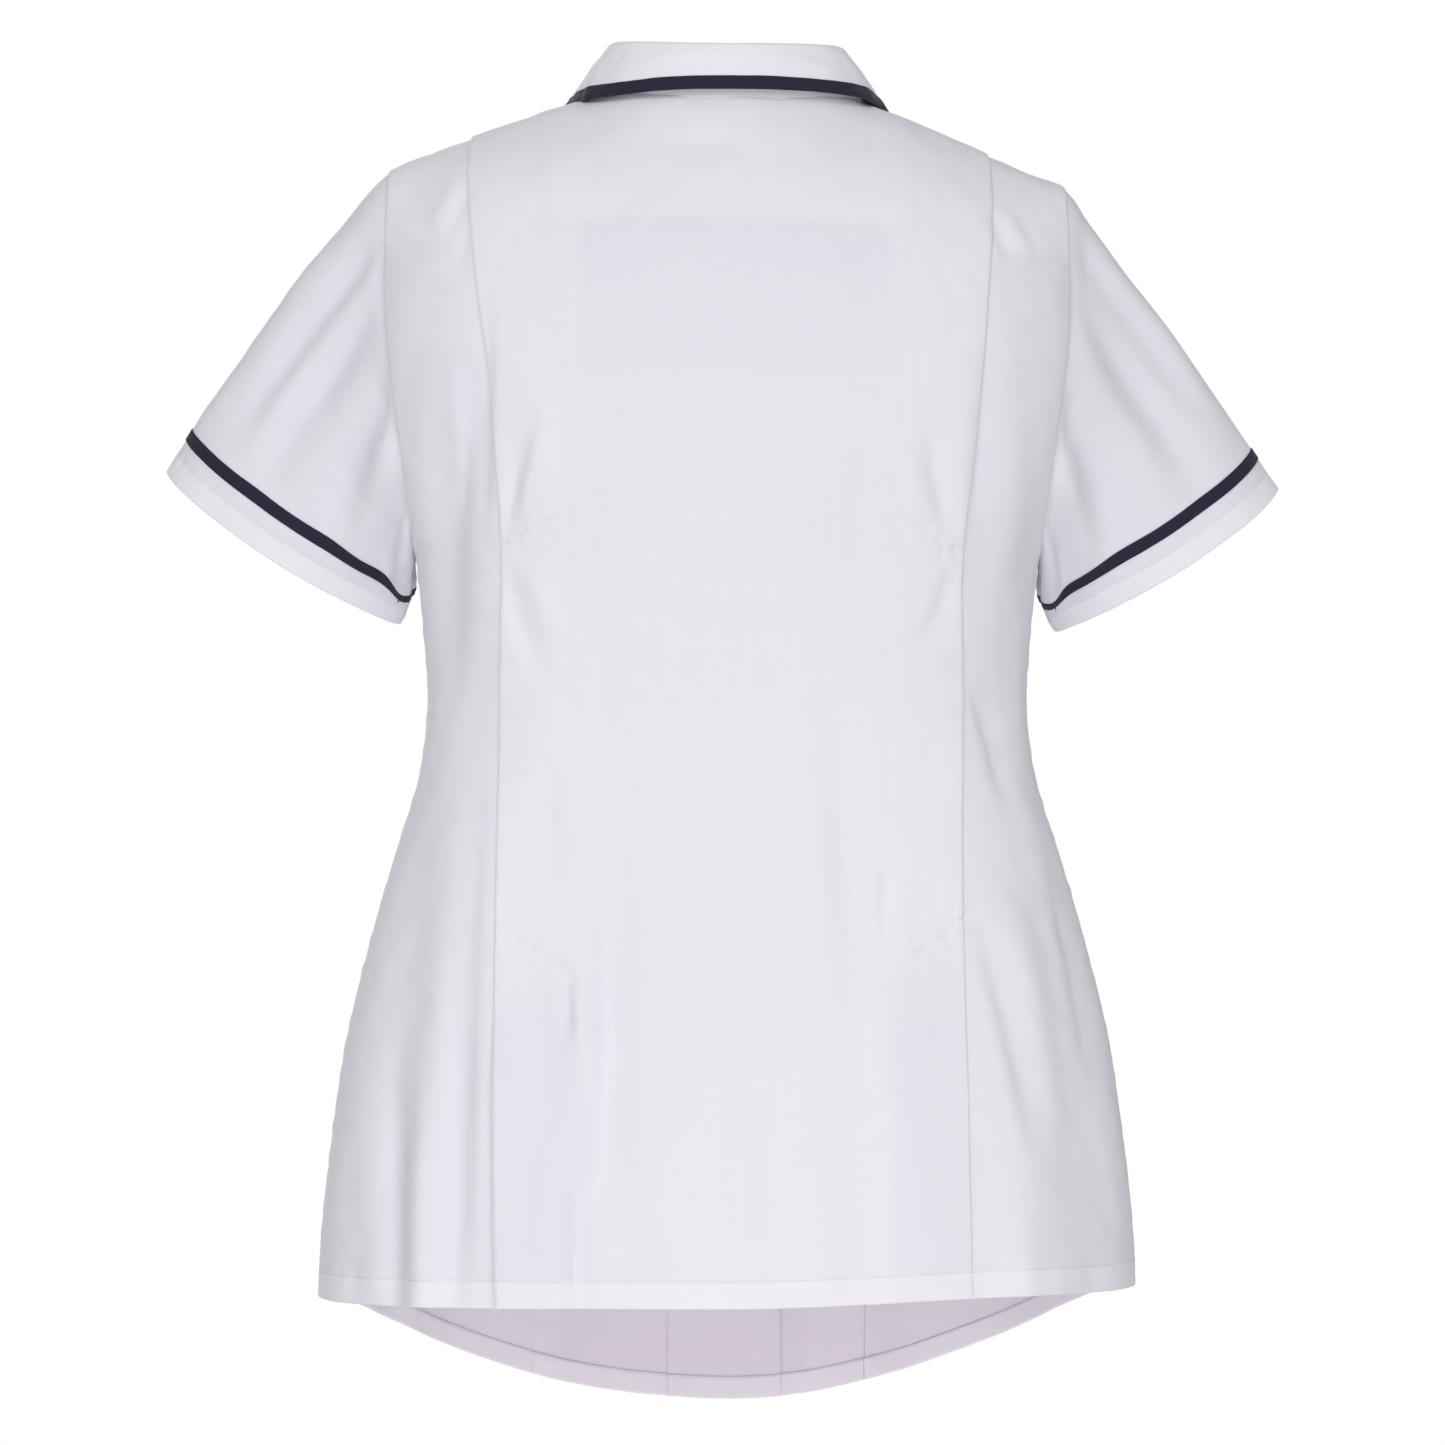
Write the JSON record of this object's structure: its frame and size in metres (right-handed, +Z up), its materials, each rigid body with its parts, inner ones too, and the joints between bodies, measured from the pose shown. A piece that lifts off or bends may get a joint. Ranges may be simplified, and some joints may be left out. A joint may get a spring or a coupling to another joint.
{
  "type": "maternity tunic",
  "caption": "Hollow short-sleeved maternity tunic in worn shape, with deep back pleats, a folded collar and contrast tape on collar and sleeves.",
  "frame": {"origin": "between the shoulders, level with the base of the neck, where the wearer's shoulders carry the tunic", "axes": "+Z up along the body, +Y towards the front of the wearer, -X towards the wearer's left arm"},
  "size_m": [0.6806, 0.3282, 0.8304],
  "materials": {
    "poly_cotton": "white plain-weave poly-cotton, matt and lightly creased",
    "navy_tape": "dark navy woven twill tape, matt"
  },
  "bodies": {
    "root": {"back_centre": "poly_cotton", "back_side_left": "poly_cotton", "back_side_right": "poly_cotton", "front_centre_left": "poly_cotton", "front_centre_right": "poly_cotton", "front_facing_left": "poly_cotton", "front_side_left": "poly_cotton", "front_side_right": "poly_cotton", "sleeve_left": "poly_cotton", "sleeve_right": "poly_cotton", "sleeve_tape_left": "navy_tape", "sleeve_tape_right": "navy_tape", "collar": "poly_cotton", "collar_tape": "navy_tape"}
  },
  "joints": []
}
